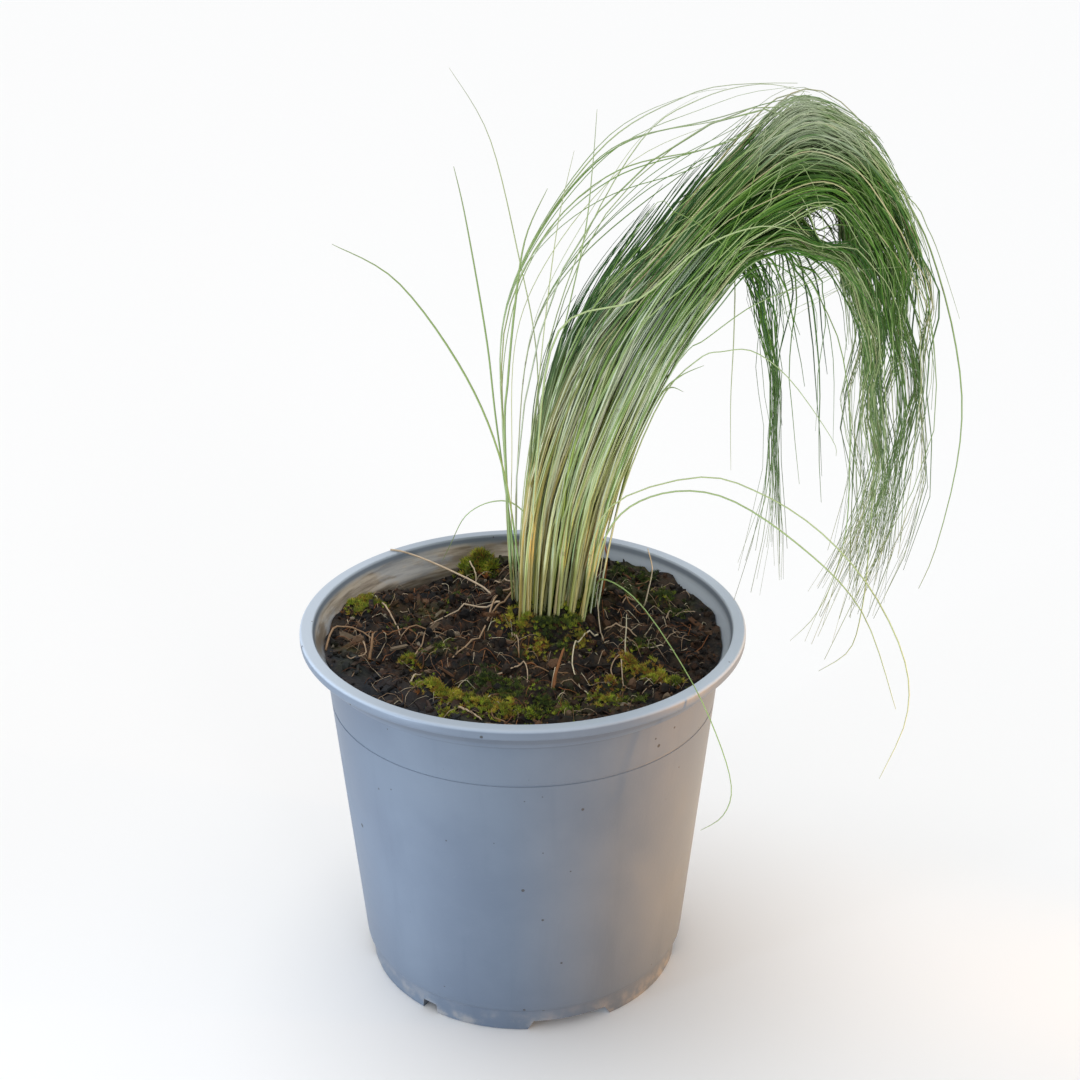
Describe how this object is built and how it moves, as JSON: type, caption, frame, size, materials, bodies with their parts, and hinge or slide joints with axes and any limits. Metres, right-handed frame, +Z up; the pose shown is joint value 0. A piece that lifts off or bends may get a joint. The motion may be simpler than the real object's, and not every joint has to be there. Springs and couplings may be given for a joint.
{
  "type": "mexican feather grass in a nursery pot",
  "caption": "Tussock of thread-like grass leaves that arch over to one side and hang down, rooted in peat in a round plastic nursery pot.",
  "frame": {"origin": "on the pot's axis, on the underside of its base, at the surface that it stands on", "axes": "+Z up along the pot's axis; +X towards the side on which the leaves arch over and hang; -Y towards the viewer's side"},
  "size_m": [0.1895, 0.13, 0.264],
  "materials": {
    "pot_plastic": "matte, slightly dusty grey-blue moulded plastic",
    "peat_soil": "damp dark brown peat with bark chips, roots and moss",
    "grass_leaf": "satin green leaves, straw-yellow at the base"
  },
  "bodies": {
    "root": {"pot": "pot_plastic", "soil": "peat_soil", "tiller_01": "grass_leaf", "tiller_02": "grass_leaf", "tiller_03": "grass_leaf", "tiller_04": "grass_leaf", "tiller_05": "grass_leaf", "tiller_06": "grass_leaf", "tiller_07": "grass_leaf", "tiller_08": "grass_leaf", "tiller_09": "grass_leaf", "tiller_10": "grass_leaf", "tiller_11": "grass_leaf", "tiller_12": "grass_leaf", "tiller_13": "grass_leaf"}
  },
  "joints": []
}
